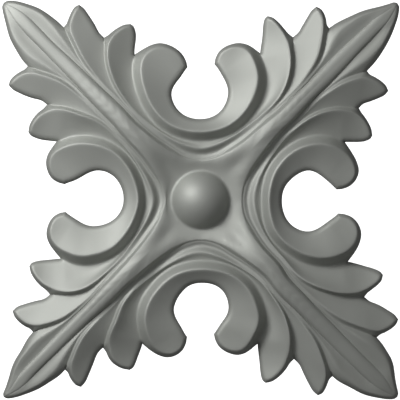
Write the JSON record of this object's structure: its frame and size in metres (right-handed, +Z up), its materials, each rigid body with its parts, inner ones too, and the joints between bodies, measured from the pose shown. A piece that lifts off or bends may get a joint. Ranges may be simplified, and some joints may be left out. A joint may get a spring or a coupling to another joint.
{
  "type": "rosette",
  "caption": "Square moulded rosette with pointed acanthus leaves on its diagonals, horseshoe hooks between them and a domed boss on a four-pointed star, flat at the back.",
  "frame": {"origin": "centre of the flat back, straight behind the middle of the boss", "axes": "+Y out of the flat back into what it is fixed to, +Z up, +X to the viewer's right; the carving faces -Y"},
  "size_m": [0.1655, 0.0146, 0.1662],
  "materials": {
    "moulded_body": "satin grey"
  },
  "bodies": {
    "root": {"rosette": "moulded_body"}
  },
  "joints": []
}
